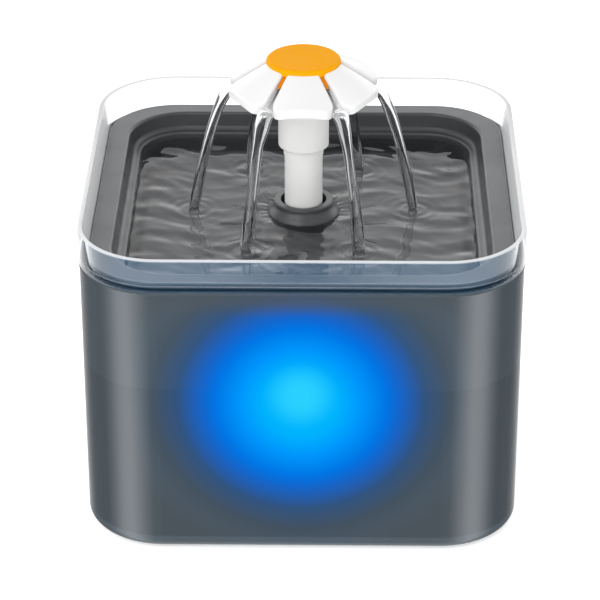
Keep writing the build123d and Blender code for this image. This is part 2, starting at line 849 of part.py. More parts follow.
with BuildPart() as intake_cover:
    with BuildSketch(facing_back(cover_front_y)):
        with Locations((0, box_middle_z)):
            RectangleRounded(2 * pump_half_width, pump_height, plate_corner)
    extrude(amount=intake_depth)
    fillet(intake_cover.faces().sort_by(Axis.Y)[-1].edges(), radius=intake_wall)
    with BuildSketch(facing_back(cover_front_y)):
        with Locations((0, box_middle_z)):
            RectangleRounded(inner_width, inner_height, plate_corner - intake_wall)
    extrude(amount=intake_depth - intake_wall, mode=Mode.SUBTRACT)
    with BuildSketch(facing_back(cover_back_y - intake_wall)):
        with Locations((0, box_middle_z)):
            intake_slots()
    extrude(amount=intake_wall, mode=Mode.SUBTRACT)
    # Hooked rails for the shutter
    rail_z = shutter_height / 2 + running_fit + rail_width / 2
    hook_z = shutter_height / 2 + running_fit + rail_width - (rail_width + rail_lip) / 2
    rail_depth = shutter_thickness + running_fit
    with BuildSketch(facing_back(cover_back_y)):
        with Locations((0, box_middle_z + rail_z), (0, box_middle_z - rail_z)):
            Rectangle(shutter_length, rail_width)
    extrude(amount=rail_depth + rail_lip)
    with BuildSketch(facing_back(cover_back_y + rail_depth)):
        with Locations((0, box_middle_z + hook_z), (0, box_middle_z - hook_z)):
            Rectangle(shutter_length, rail_width + rail_lip)
    extrude(amount=rail_lip)
finish(intake_cover, "intake_cover")

with BuildPart() as flow_shutter:
    with BuildSketch(facing_back(cover_back_y)):
        with Locations((0, box_middle_z)):
            Rectangle(shutter_length, shutter_height)
            with BuildSketch(mode=Mode.PRIVATE) as shutter_slots:
                intake_slots()
            add(shutter_slots.sketch, mode=Mode.SUBTRACT)
    extrude(amount=shutter_thickness)
    with BuildSketch(facing_back(cover_back_y + shutter_thickness)):
        nub_x = shutter_length / 2 - rail_width / 2
        with Locations((nub_x, box_middle_z), (-nub_x, box_middle_z)):
            Rectangle(rail_width, shutter_height / 2)
    extrude(amount=2 * shutter_thickness)
finish(flow_shutter, "flow_shutter")

with BuildPart() as prefilter_sponge:
    with BuildSketch(facing_back(cover_back_y - intake_wall - sponge_thickness)):
        with Locations((0, box_middle_z)):
            RectangleRounded(inner_width - seat_clearance, inner_height - seat_clearance, plate_corner / 2)
    extrude(amount=sponge_thickness)
finish(prefilter_sponge, "prefilter_sponge")

# LED board across the front of the cavity, with its emitters behind the lens
board_front_y = cavity_front_y + led_thickness + seat_clearance

with BuildPart() as led_board:
    with BuildSketch(facing_back(board_front_y)):
        with Locations((0, led_z)):
            Rectangle(2 * (cavity_half_width - push_fit), led_board_height)
    extrude(amount=led_board_thickness)
finish(led_board, "led_board")

with BuildPart() as led_emitters:
    with BuildSketch(facing_back(board_front_y)):
        with Locations((0, led_z)):
            with PolarLocations(led_circle_radius, led_count, start_angle=45):
                Rectangle(led_size, led_size)
    extrude(amount=-led_thickness)
finish(led_emitters, "led_emitters")

lens_sphere = (lens_radius**2 + lens_bulge**2) / (2 * lens_bulge)

with BuildPart() as led_lens:
    with BuildSketch(Plane.YZ):
        with BuildLine():
            rim = -pump_front
            RadiusArc((rim, led_z + lens_radius), (rim - lens_bulge, led_z), -lens_sphere)
            Polyline(
                (rim - lens_bulge, led_z),
                (rim + pump_skin, led_z),
                (rim + pump_skin, led_z + lens_radius),
                (rim + lens_flange_thickness, led_z + lens_radius),
                (rim + lens_flange_thickness, led_z + lens_flange_radius),
                (rim, led_z + lens_flange_radius),
                (rim, led_z + lens_radius),
            )
        make_face()
    revolve(axis=Axis((0, 0, led_z), (0, 1, 0)))
finish(led_lens, "led_lens")

with BuildPart() as pump_gland:
    with BuildSketch(Plane.YZ.offset(cavity_half_width)):
        with Locations((gland_y, led_z)):
            Circle(gland_radius)
            Circle(cable_bore, mode=Mode.SUBTRACT)
    extrude(amount=gland_length)
finish(pump_gland, "pump_gland")

# ---------------------------------------------------------------- riser

with BuildPart() as outlet_coupler:
    coupler_bottom_z = outlet_top_z - coupler_overlap
    coupler_top_z = riser_bottom_z + coupler_overlap
    with BuildSketch(Plane.XY.offset(coupler_bottom_z)):
        Circle(coupler_radius)
    extrude(amount=coupler_top_z - coupler_bottom_z)
    with BuildSketch(Plane.XY.offset(coupler_bottom_z)):
        Circle(outlet_radius + push_fit)
    extrude(amount=coupler_overlap, mode=Mode.SUBTRACT)
    with BuildSketch(Plane.XY.offset(outlet_top_z)):
        Circle(riser_bore)
    extrude(amount=coupler_stop, mode=Mode.SUBTRACT)
    with BuildSketch(Plane.XY.offset(riser_bottom_z)):
        Circle(riser_radius + push_fit)
    extrude(amount=coupler_overlap, mode=Mode.SUBTRACT)
    outer_rims = outlet_coupler.edges().filter_by(GeomType.CIRCLE).sort_by(SortBy.RADIUS)[-2:]
    fillet(outer_rims, radius=coupler_stop)
finish(outlet_coupler, "outlet_coupler")

with BuildPart() as riser_tube:
    with BuildSketch(Plane.XY.offset(riser_bottom_z)):
        Circle(riser_radius)
    extrude(amount=riser_top_z - riser_bottom_z)
    with BuildSketch(Plane.XY.offset(stem_bottom_z - riser_collar_height)):
        Circle(riser_collar_radius)
    extrude(amount=riser_collar_height)
    with BuildSketch(Plane.XY.offset(riser_bottom_z)):
        Circle(riser_bore)
    extrude(amount=riser_top_z - riser_bottom_z, mode=Mode.SUBTRACT)
finish(riser_tube, "riser_tube")

# ---------------------------------------------------------------- flower

socket_radius = riser_radius + running_fit
socket_top_z = riser_top_z + seat_clearance

with BuildPart() as flower_stem:
    with BuildSketch(Plane.XZ) as stem_section:
        with BuildLine():
            Polyline(
                (socket_radius, stem_bottom_z),
                (stem_radius, stem_bottom_z),
                (stem_radius, stem_shoulder_z),
                (stem_neck_radius, stem_shoulder_z),
                (stem_neck_radius, stem_top_z),
                (stem_bore, stem_top_z),
                (stem_bore, socket_top_z),
                (socket_radius, socket_top_z),
                close=True,
            )
        make_face()
        wide_corners = stem_section.vertices().group_by(Axis.X)[-1]
        fillet(wide_corners, radius=stem_edge_fillet)
    revolve(axis=Axis.Z)
finish(flower_stem, "flower_stem")


def petal_face_z(radius):
    """Height of the petals' slope, without their dome."""
    return petal_seat_z - (radius - pistil_radius) * petal_fall


petal_rise = sin(radians(petal_slope))
petal_run = cos(radians(petal_slope))
petal_fall = petal_rise / petal_run

# Outline of one petal in plan, pointing along +X. Its corners run into the tip, which is round
# about the riser axis.
corner_y = petal_half_width - petal_corner_radius
corner_x = ((petal_tip_radius - petal_corner_radius) ** 2 - corner_y**2) ** 0.5
tip_reach = 2 * petal_tip_radius
petal_tip = Circle(petal_tip_radius) & Polygon(
    (0, 0),
    (tip_reach * corner_x, -tip_reach * corner_y),
    (tip_reach * corner_x, tip_reach * corner_y),
    align=None,
)
with BuildSketch() as petal_outline:
    with Locations((corner_x, -corner_y), (corner_x, corner_y)):
        Circle(petal_corner_radius)
    with Locations((petal_root_x, 0)):
        Rectangle(2 * petal_root_half, 2 * petal_root_half, align=(Align.MIN, Align.CENTER))
    make_hull()
    add(petal_tip)

# One petal: a length of domed section along the slope, cut to the outline
ridge_z = petal_seat_z + petal_ridge_rise + (pistil_radius - petal_root_x / 2) * petal_fall
petal_section = Plane(
    origin=(petal_root_x / 2, 0, ridge_z),
    x_dir=(0, 1, 0),
    z_dir=(petal_run, 0, -petal_rise),
)
with BuildPart() as petal:
    with BuildSketch(petal_section):
        with Locations((0, -petal_dome_radius)):
            Circle(petal_dome_radius)
            Circle(petal_dome_radius - petal_thickness, mode=Mode.SUBTRACT)
        Rectangle(
            2 * petal_half_width,
            petal_dome_radius,
            align=(Align.CENTER, Align.MAX),
            mode=Mode.INTERSECT,
        )
    extrude(amount=2 * petal_tip_radius)
    with BuildSketch():
        add(petal_outline.sketch)
    extrude(amount=2 * petal_seat_z, mode=Mode.INTERSECT)
    round_faces = petal.faces().filter_by(GeomType.CYLINDER)
    upper_face = round_faces.filter_by(lambda face: face.radius == petal_dome_radius)
    fillet(upper_face.edges(), radius=petal_fillet)

with BuildPart() as petals:
    with PolarLocations(0, petal_count, start_angle=-90):
        add(petal.part)
    # Seat for the pistil, then the conical channel floor and the hub
    with BuildSketch(Plane.XY.offset(petal_seat_z)):
        Circle(pistil_radius + push_fit)
    extrude(amount=4 * petal_thickness, mode=Mode.SUBTRACT)
    hub_bore = stem_neck_radius + running_fit
    hub_radius = hub_bore + hub_wall
    dish_z = petal_seat_z - channel_drop
    channel_edge_z = petal_face_z(channel_radius) - channel_drop
    with BuildSketch(Plane.XZ):
        with BuildLine():
            Polyline(
                (hub_bore, stem_shoulder_z),
                (hub_radius, stem_shoulder_z),
                (hub_radius, dish_z - channel_shell - hub_wall),
                (hub_radius + hub_wall, dish_z - channel_shell),
                (pistil_radius, dish_z - channel_shell),
                (channel_radius, channel_edge_z - channel_shell),
                (channel_radius, channel_edge_z),
                (pistil_radius, dish_z),
                (hub_bore, dish_z),
                close=True,
            )
        make_face()
    revolve(axis=Axis.Z)
finish(petals, "petals")

# The pistil cap: a disc with six wedges that reach down between the petals, and a slotted plug
# in the stem's bore.
plug_bottom_z = stem_top_z - plug_length
plug_radius = stem_bore - running_fit
wedge_root = pistil_radius - pistil_edge_radius / 2

with BuildPart() as pistil_cap:
    with BuildSketch(Plane.XZ):
        with BuildLine():
            Polyline(
                (hub_radius, petal_seat_z),
                (wedge_root, petal_seat_z),
                (wedge_radius, petal_seat_z - wedge_drop + wedge_tip),
                (wedge_radius, petal_seat_z - wedge_drop),
                (hub_radius, petal_seat_z - wedge_thickness),
                close=True,
            )
        make_face()
    revolve(axis=Axis.Z)
    with BuildSketch(Plane.XY.offset(plug_bottom_z)):
        Circle(wedge_root)
        with PolarLocations(0, petal_count, start_angle=180 / petal_count - 90):
            Polygon(
                (wedge_root - wedge_root_half, -wedge_root_half),
                (wedge_root, -wedge_root_half),
                (wedge_radius, -wedge_tip_half),
                (wedge_radius, wedge_tip_half),
                (wedge_root, wedge_root_half),
                (wedge_root - wedge_root_half, wedge_root_half),
                align=None,
            )
    extrude(amount=petal_seat_z - plug_bottom_z, mode=Mode.INTERSECT)
    with BuildSketch(Plane.XY.offset(plug_bottom_z)):
        with PolarLocations(0, petal_count, start_angle=-90):
            add(offset(petal_outline.sketch, amount=wedge_clearance, mode=Mode.PRIVATE))
    extrude(amount=petal_seat_z - plug_bottom_z, mode=Mode.SUBTRACT)
    with BuildSketch(Plane.XY.offset(plug_bottom_z)):
        Circle(plug_radius)
    extrude(amount=petal_seat_z - plug_bottom_z)
    with BuildSketch(Plane.XY.offset(plug_bottom_z)):
        Circle(plug_bore)
    extrude(amount=petal_seat_z - plug_bottom_z, mode=Mode.SUBTRACT)
    with BuildSketch(Plane.XY.offset(stem_top_z)):
        for turn in range(plug_slot_count):
            Rectangle(2 * plug_radius, plug_slot_width, rotation=180 * turn / plug_slot_count)
    extrude(amount=petal_seat_z - stem_top_z, mode=Mode.SUBTRACT)
    with BuildSketch(Plane.XY.offset(petal_seat_z)):
        Circle(pistil_radius)
    extrude(amount=pistil_thickness)
    fillet(pistil_cap.edges().group_by(Axis.Z)[-1], radius=pistil_edge_radius)
finish(pistil_cap, "pistil_cap")
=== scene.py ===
from math import cos, exp, pi, radians, sin, sqrt, tan

import bpy
import numpy as np
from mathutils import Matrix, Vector


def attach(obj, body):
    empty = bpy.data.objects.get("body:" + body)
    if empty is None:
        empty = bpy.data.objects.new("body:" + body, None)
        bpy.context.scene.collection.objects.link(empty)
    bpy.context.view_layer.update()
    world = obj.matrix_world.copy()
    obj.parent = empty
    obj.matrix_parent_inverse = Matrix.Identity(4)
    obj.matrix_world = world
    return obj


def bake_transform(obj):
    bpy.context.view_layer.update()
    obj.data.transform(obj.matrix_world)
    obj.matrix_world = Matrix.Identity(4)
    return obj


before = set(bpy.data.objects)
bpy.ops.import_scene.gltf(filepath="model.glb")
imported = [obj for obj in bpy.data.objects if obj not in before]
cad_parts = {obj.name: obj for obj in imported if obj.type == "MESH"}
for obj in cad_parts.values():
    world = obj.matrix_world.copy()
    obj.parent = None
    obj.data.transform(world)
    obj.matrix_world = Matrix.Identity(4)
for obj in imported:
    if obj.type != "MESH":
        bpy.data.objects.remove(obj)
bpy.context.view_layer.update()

MM = 0.001

# Camera, in front of the fountain and above it
CAMERA_DISTANCE = 1.204656
CAMERA_ELEVATION = 0.494187  # radians
CAMERA_TURN = 0.0122  # radians, towards +X
CAMERA_TARGET_Z = 0.071001
CAMERA_LENS = 163.83  # mm, on the sensor below
CAMERA_SENSOR = 36.0
CAMERA_SHIFT_X = -0.0060

# Basin, boss and petal sizes that the water follows, in metres
WATER_Z = 0.1157
POOL_TINT = (0.76, 0.785, 0.815, 1.0)
STREAM_TINT = (0.8, 0.81, 0.82, 1.0)
BASIN_HALF = 0.0735
BASIN_CORNER = 0.0197
BOSS_RADIUS = 0.0154
LANDING_RADIUS = 0.0474
STREAM_COUNT = 6
CHANNEL_START = 0.0185
CHANNEL_END = 0.0294
CHANNEL_END_Z = 0.17307
CHANNEL_SLOPE = radians(27.0)
CHANNEL_SHARE = 0.16  # of a stream's length, in the channel
LAYER_RISE = 0.55 * MM  # middle of the water over the channel's floor

# Streams: size in the channel, and what the fall adds to it
STREAM_HALF_WIDTH = 2.1 * MM
STREAM_WIDENING = 0.75 * MM
SHEET_HALF_WIDTH = 1.8 * MM  # only near the top of the fall, as is the bulge
BULGE_DEPTH = 1.5 * MM
STREAM_HALF_THICKNESS = 0.5 * MM
STREAM_ROUNDING = 2.3 * MM
STREAM_TWIST = 0.5  # radians
STREAM_SWAY = 0.35 * MM
STREAM_GROOVE = 0.12  # share of the radius that the grooves take at the foot
STREAM_RINGS = 90
STREAM_SIDES = 28

# Waves on the pool
WAVE_COUNT = 46
WAVE_SPREAD = 0.55  # radians, round the line from front to back
WAVE_SHORTEST = 5 * MM
WAVE_LONGEST = 22 * MM
WAVE_RISE = 0.021 * MM  # of a wave of the length below
WAVE_REFERENCE = 14 * MM
BEND_X = 2.5 * MM  # how far the crests are bent
BEND_Y = 3.0 * MM
BEND_X_RATE = 170.0  # radians per metre
BEND_Y_RATE = 130.0
RING_PITCH = 4.6 * MM
RING_REACH = 5.5 * MM
RING_START = 2.2 * MM
RING_RISE = 0.22 * MM
SPLASH_RADIUS = 2.6 * MM
SPLASH_RISE = 0.6 * MM
EDGE_CALM = 2.0 * MM
EDGE_DIP = 0.35 * MM
EDGE_REACH = 2.4 * MM

# Clear collar: share of haze on each face, the lamp's glow painted in its front wall, and the pale line
# painted as a highlight where its wall steps out over the foot
COLLAR_HAZE = 0.007
COLLAR_GLOW = 0.057
COLLAR_GLOW_START = 0.0700  # distance in front of the centre
COLLAR_GLOW_FULL = 0.0890
COLLAR_FOOT_Z = 0.1262
COLLAR_TOP_Z = 0.1374
COLLAR_STEP_Z = COLLAR_FOOT_Z + 0.3 * MM
COLLAR_STEP_HALF = 0.4 * MM
COLLAR_STEP_HIGHLIGHT = 0.16
COLLAR_EDGE_FROST_HIGHLIGHT = 0.8

# Tank: the lamp's glow painted on its front wall, the fill line, and a paler band at its foot painted as a
# highlight
GLOW_NONE_Y = -0.0895
GLOW_FULL_Y = -0.0915
HALO_Z = 0.0722
CORE_Z = 0.0757
GLOW_RADIUS = 0.0485
FILL_Z = 0.0783
RIM_FADE_Z = 0.1115
RIM_FADE_HEIGHT = 9.0 * MM
DRY_TONE = 1.14  # of the wall over the fill line, against the wall under it
TANK_FOOT_Z = 0.0068
TANK_FOOT_HIGHLIGHT = 1.38
TANK_RIM_Z = 0.123

# Under face of the pistil's disc
DISC_FOOT_Z = 0.1840

rng = np.random.default_rng(7)


# ---------------------------------------------------------------- shader helpers


def new_material(name):
    """A material with its Principled shader and node tree."""
    material = bpy.data.materials.new(name)
    material.use_nodes = True
    return material, material.node_tree, material.node_tree.nodes["Principled BSDF"]


def add_node(tree, kind, inputs=None, **settings):
    """A node of a kind, with settings and inputs. An input that is a socket is linked."""
    node = tree.nodes.new(kind)
    for name, value in settings.items():
        setattr(node, name, value)
    for name, value in (inputs or {}).items():
        if isinstance(value, bpy.types.NodeSocket):
            tree.links.new(value, node.inputs[name])
        else:
            node.inputs[name].default_value = value
    return node


def connect(tree, shader, **inputs):
    """Sets or links inputs of the Principled shader, with _ for a space in their names."""
    for name, value in inputs.items():
        socket = shader.inputs[name.replace("_", " ")]
        if isinstance(value, bpy.types.NodeSocket):
            tree.links.new(value, socket)
        else:
            socket.default_value = value


def rgb(red, green, blue):
    """Linear colour of an sRGB colour given from 0 to 255."""
    linear = []
    for value in (red, green, blue):
        share = value / 255
        linear.append(share / 12.92 if share <= 0.04045 else ((share + 0.055) / 1.055) ** 2.4)
    return (*linear, 1.0)


def grey(value):
    """Neutral linear colour."""
    return (value, value, value, 1.0)


def ramp(tree, factor, stops):
    """Colour ramp with (position, colour) stops."""
    node = add_node(tree, "ShaderNodeValToRGB", {"Fac": factor})
    elements = node.color_ramp.elements
    while len(elements) < len(stops):
        elements.new(0.5)
    for element, (position, colour) in zip(elements, stops):
        element.position = position
        element.color = colour
    return node.outputs["Color"]


def grey_ramp(tree, factor, stops):
    """Colour ramp with (position, neutral value) stops."""
    return ramp(tree, factor, [(position, grey(value)) for position, value in stops])


def shade(colour, factor):
    """Colour made darker or lighter by a factor, up to full."""
    return tuple(min(1.0, channel * factor) for channel in colour[:3]) + (1.0,)


def calculate(tree, operation, first, second=0.0, third=0.0):
    """Output of a Math node."""
    node = add_node(tree, "ShaderNodeMath", operation=operation)
    for socket, value in zip(node.inputs, (first, second, third)):
        if isinstance(value, bpy.types.NodeSocket):
            tree.links.new(value, socket)
        else:
            socket.default_value = value
    return node.outputs[0]


def map_range(tree, value, low, high, to_low=0.0, to_high=1.0, smooth=False):
    """Value mapped from one range to another and kept inside it."""
    node = add_node(
        tree,
        "ShaderNodeMapRange",
        {"Value": value, "From Min": low, "From Max": high, "To Min": to_low, "To Max": to_high},
        interpolation_type="SMOOTHSTEP" if smooth else "LINEAR",
    )
    return node.outputs["Result"]


def mix_colour(tree, factor, first, second, blend="MIX"):
    """Colour mixed from two."""
    node = add_node(tree, "ShaderNodeMix", data_type="RGBA", blend_type=blend)
    for socket, value in ((node.inputs[0], factor), (node.inputs[6], first), (node.inputs[7], second)):
        if isinstance(value, bpy.types.NodeSocket):
            tree.links.new(value, socket)
        else:
            socket.default_value = value
    return node.outputs[2]


def place(tree):
    """Object coordinates, which are the frame's own on every piece here."""
    return add_node(tree, "ShaderNodeTexCoord").outputs["Object"]


def axes(tree):
    """X, Y and Z of the object coordinates."""
    position = add_node(tree, "ShaderNodeSeparateXYZ", {"Vector": place(tree)})
    return [position.outputs[axis] for axis in "XYZ"]


def noise(tree, scale, detail=3.0, roughness=0.5):
    """Noise from 0 to 1."""
    inputs = {"Vector": place(tree), "Scale": scale, "Detail": detail, "Roughness": roughness}
    return add_node(tree, "ShaderNodeTexNoise", inputs).outputs["Fac"]


def bump(tree, height, strength, distance):
    """Normal from a height."""
    inputs = {"Height": height, "Strength": strength, "Distance": distance}
    return add_node(tree, "ShaderNodeBump", inputs).outputs["Normal"]


def let_lamps_through(tree, shader):
    """Light from lamps passes the clear shader without a shadow."""
    output = tree.nodes["Material Output"]
    path = add_node(tree, "ShaderNodeLightPath")
    clear = add_node(tree, "ShaderNodeBsdfTransparent")
    mixer = add_node(tree, "ShaderNodeMixShader", {0: path.outputs["Is Shadow Ray"]})
    tree.links.new(shader.outputs["BSDF"], mixer.inputs[1])
    tree.links.new(clear.outputs["BSDF"], mixer.inputs[2])
    tree.links.new(mixer.outputs["Shader"], output.inputs["Surface"])


# ---------------------------------------------------------------- materials


def moulded_plastic(name, colour, roughness, grain=1800.0, depth=0.02 * MM, tone=0.05, shine=0.5):
    """Moulded plastic: a fine grain, faint flow marks in its tone and uneven gloss."""
    material, tree, shader = new_material(name)
    flow = noise(tree, 28.0, 4.0)
    tint = ramp(tree, flow, [(0.3, shade(colour, 1 - tone)), (0.7, shade(colour, 1 + tone))])
    gloss = map_range(tree, noise(tree, 90.0, 3.0), 0.3, 0.7, roughness * 0.88, roughness * 1.12)
    normal = bump(tree, noise(tree, grain, 2.0), 0.5, depth)
    connect(tree, shader, Base_Color=tint, Roughness=gloss, Normal=normal, Specular_IOR_Level=shine)
    return material


def radius_on_front(tree, x, z, centre_z):
    """Distance on the front wall from a point on its middle line."""
    rise = calculate(tree, "SUBTRACT", z, centre_z)
    squares = [calculate(tree, "POWER", part, 2.0) for part in (x, rise)]
    return calculate(tree, "SQRT", calculate(tree, "ADD", *squares))


def smoke_tone(tree, z):
    """The smoked wall's colour, a shade darker towards the top, with a paler band at the foot painted as a
    highlight, and the dry wall paler.
    """
    stops = [(0.0, rgb(60, 68, 74)), (0.6, rgb(57, 65, 71)), (1.0, rgb(56, 64, 70))]
    smoke = ramp(tree, map_range(tree, z, 0.0, TANK_RIM_Z), stops)
    # Painted highlight: the wall is paler at its foot
    foot_top, wall_start = TANK_FOOT_Z - 0.4 * MM, TANK_FOOT_Z + 0.4 * MM
    foot = map_range(tree, z, foot_top, wall_start, TANK_FOOT_HIGHLIGHT, 1.0, smooth=True)
    smoke = mix_colour(tree, 1.0, smoke, foot, "MULTIPLY")
    ripple = calculate(tree, "MULTIPLY", noise(tree, 40.0, 2.0), 0.4 * MM)
    level = calculate(tree, "SUBTRACT", z, ripple)
    dry = map_range(tree, level, FILL_Z - 0.2 * MM, FILL_Z + 0.2 * MM, 1.0, DRY_TONE)
    return mix_colour(tree, 1.0, smoke, dry, "MULTIPLY")


# Colours of the painted glow from its centre out, by distance in shares of two glow radii
HALO_STOPS = [
    (0.0, rgb(0, 190, 254)),
    (0.16, rgb(0, 178, 253)),
    (0.26, rgb(0, 149, 252)),
    (0.365, rgb(0, 116, 227)),
    (0.42, rgb(0, 98, 200)),
    (0.525, rgb(0, 62, 112)),
    (0.63, rgb(0, 30, 50)),
    (0.8, rgb(0, 0, 0)),
]


def painted_lamp_glow(tree, x, y, z):
    """The lamp's glow, painted on the front wall as emission, and how much of the wall's own colour it
    hides.
    """
    front = map_range(tree, y, GLOW_NONE_Y, GLOW_FULL_Y)
    fade = map_range(tree, z, RIM_FADE_Z, RIM_FADE_Z + RIM_FADE_HEIGHT, 1.0, 0.25, smooth=True)
    lamp = calculate(tree, "MULTIPLY", front, fade)
    halo = calculate(tree, "DIVIDE", radius_on_front(tree, x, z, HALO_Z), GLOW_RADIUS)
    light = ramp(tree, calculate(tree, "DIVIDE", halo, 2.0), HALO_STOPS)
    # The painted glow's brightest spot is a little over the halo's centre
    core = calculate(tree, "DIVIDE", radius_on_front(tree, x, z, CORE_Z), GLOW_RADIUS)
    brightest = map_range(tree, core, 0.05, 0.36, 1.0, 0.0, smooth=True)
    light = mix_colour(tree, brightest, light, rgb(42, 209, 255))
    cover = map_range(tree, halo, 0.68, 1.5, 1.0, 0.0, smooth=True)
    return mix_colour(tree, lamp, grey(0.0), light), calculate(tree, "MULTIPLY", cover, lamp)


def tank_plastic():
    """Smoked translucent plastic, with the blue lamp's glow painted on its front wall as emission, and the
    water's fill line.
    """
    material, tree, shader = new_material("smoked_tank")
    x, y, z = axes(tree)
    # Painted glow: emission on the front wall stands in for the lamp's light scattered in the wall
    light, glow = painted_lamp_glow(tree, x, y, z)
    base = mix_colour(tree, glow, smoke_tone(tree, z), grey(0.0))
    gleam = calculate(tree, "MULTIPLY", calculate(tree, "SUBTRACT", 1.0, glow), 0.5)
    gloss = map_range(tree, noise(tree, 60.0, 3.0), 0.3, 0.7, 0.16, 0.2)
    normal = bump(tree, noise(tree, 45.0, 2.0), 0.12, 0.03 * MM)
    connect(tree, shader, Base_Color=base, Roughness=gloss, Normal=normal)
    connect(tree, shader, Emission_Color=light, Emission_Strength=1.0, Specular_IOR_Level=gleam)
    return material


def collar_solidity(tree, z, edge, above_foot):
    """How solid the clear wall looks: its haze, the step's line painted as a highlight, more at a slant,
    and the top's frost, painted pale as a highlight.
    """
    slant = add_node(tree, "ShaderNodeLayerWeight", {"Blend": 0.5}).outputs["Facing"]
    steep = calculate(tree, "MULTIPLY", calculate(tree, "POWER", slant, 6.0), 2.5)
    grazing = calculate(tree, "MINIMUM", steep, 0.92)
    # Painted highlight: a pale line along the step over the foot
    off_step = calculate(tree, "ABSOLUTE", calculate(tree, "SUBTRACT", z, COLLAR_STEP_Z))
    step_highlight = map_range(tree, off_step, 0.0, COLLAR_STEP_HALF, COLLAR_STEP_HIGHLIGHT, 0.0)
    haze = calculate(tree, "ADD", step_highlight, calculate(tree, "MULTIPLY", above_foot, COLLAR_HAZE))
    frost = calculate(tree, "MULTIPLY", edge, COLLAR_EDGE_FROST_HIGHLIGHT)
    return calculate(tree, "ADD", haze, calculate(tree, "ADD", grazing, frost))


def clear_plastic():
    """Clear plastic: glossy and faintly hazy, frosted on its top edge, which is painted pale as a highlight
    and darker towards the back as shade, and with the lamp's glow painted into its front wall.
    """
    material, tree, shader = new_material("clear_collar")
    y, z = axes(tree)[1:]
    facing = add_node(tree, "ShaderNodeNewGeometry").outputs["Normal"]
    up = add_node(tree, "ShaderNodeSeparateXYZ", {"Vector": facing}).outputs["Z"]
    at_top = map_range(tree, z, COLLAR_TOP_Z - 0.6 * MM, COLLAR_TOP_Z)
    edge = calculate(tree, "MULTIPLY", map_range(tree, up, 0.25, 0.85), at_top)
    above_foot = map_range(tree, z, COLLAR_FOOT_Z - 0.5 * MM, COLLAR_FOOT_Z, 0.3, 1.0)
    solid = collar_solidity(tree, z, edge, above_foot)
    # Painted glow: the lamp's light as emission in the front wall
    towards = calculate(tree, "MULTIPLY", y, -1.0)
    lit = map_range(tree, towards, COLLAR_GLOW_START, COLLAR_GLOW_FULL, 0.0, COLLAR_GLOW)
    glow = calculate(tree, "DIVIDE", calculate(tree, "MULTIPLY", lit, above_foot), solid)
    gloss = map_range(tree, noise(tree, 70.0, 2.0), 0.3, 0.7, 0.03, 0.05)
    rough = calculate(tree, "ADD", gloss, calculate(tree, "MULTIPLY", edge, 0.35))
    # The top edge's tint: painted pale as a highlight, and darker towards the back as painted shade
    rim = map_range(tree, y, 0.0, 0.06, 0.69, 0.52)
    tint = mix_colour(tree, edge, (0.82, 0.83, 0.84, 1.0), rim)
    connect(tree, shader, Base_Color=tint, Roughness=rough, IOR=1.15)
    connect(tree, shader, Emission_Color=(0.02, 0.46, 1.0, 1.0), Emission_Strength=glow)
    clear = add_node(tree, "ShaderNodeBsdfTransparent", {"Color": (0.975, 0.98, 0.985, 1.0)})
    mixer = add_node(tree, "ShaderNodeMixShader", {0: calculate(tree, "MINIMUM", solid, 1.0)})
    tree.links.new(clear.outputs["BSDF"], mixer.inputs[1])
    tree.links.new(shader.outputs["BSDF"], mixer.inputs[2])
    tree.links.new(mixer.outputs["Shader"], tree.nodes["Material Output"].inputs["Surface"])
    return material


def water_clear(name, tint):
    """Clear water, with bubbles too fine to model as faint unevenness."""
    material, tree, shader = new_material(name)
    normal = bump(tree, noise(tree, 260.0, 2.0), 0.2, 0.05 * MM)
    connect(tree, shader, Base_Color=tint, Roughness=0.0, Transmission_Weight=1.0, IOR=1.333, Normal=normal)
    let_lamps_through(tree, shader)
    return material


def granules(name, dark, light, scale, depth):
    """A bed of granules: cells of uneven tone, with painted shade in the deep gaps between them."""
    material, tree, shader = new_material(name)
    cells = add_node(tree, "ShaderNodeTexVoronoi", {"Vector": place(tree), "Scale": scale})
    tone = ramp(tree, cells.outputs["Color"], [(0.2, dark), (0.8, light)])
    # Painted shade: darker in the gaps between granules
    gap = map_range(tree, cells.outputs["Distance"], 0.1, 0.75, 1.0, 0.25)
    colour = mix_colour(tree, 1.0, tone, gap, "MULTIPLY")
    normal = bump(tree, calculate(tree, "SUBTRACT", 1.0, cells.outputs["Distance"]), 1.0, depth)
    connect(tree, shader, Base_Color=colour, Roughness=0.6, Normal=normal)
    return material


def fibres(name, colour, scale, depth):
    """Felt: tangled noise in tone and height."""
    material, tree, shader = new_material(name)
    tangle = noise(tree, scale, 6.0, 0.7)
    tone = ramp(tree, tangle, [(0.3, shade(colour, 0.72)), (0.65, colour)])
    connect(tree, shader, Base_Color=tone, Roughness=0.92, Normal=bump(tree, tangle, 0.9, depth))
    connect(tree, shader, Sheen_Weight=0.3)
    return material


def open_foam(name, colour):
    """Open-celled foam: pores between thin struts, painted darker with their depth as shade."""
    material, tree, shader = new_material(name)
    pores = add_node(tree, "ShaderNodeTexVoronoi", {"Vector": place(tree), "Scale": 900.0})
    depth = map_range(tree, pores.outputs["Distance"], 0.1, 0.6)
    # Painted shade: the pores are darker with their depth
    tone = ramp(tree, depth, [(0.0, shade(colour, 0.3)), (1.0, colour)])
    connect(tree, shader, Base_Color=tone, Roughness=0.95, Normal=bump(tree, depth, 1.0, 0.4 * MM))
    return material


def striped_metal(name, dark, light, pitch, roughness, depth):
    """Stacked sheets or wound wire: stripes from front to back."""
    material, tree, shader = new_material(name)
    y = axes(tree)[1]
    wave = calculate(tree, "SINE", calculate(tree, "MULTIPLY", y, 2 * pi / pitch))
    height = map_range(tree, wave, -1.0, 1.0)
    tone = ramp(tree, height, [(0.1, dark), (0.6, light)])
    normal = bump(tree, height, 0.7, depth)
    connect(tree, shader, Base_Color=tone, Roughness=roughness, Metallic=0.9, Normal=normal)
    return material


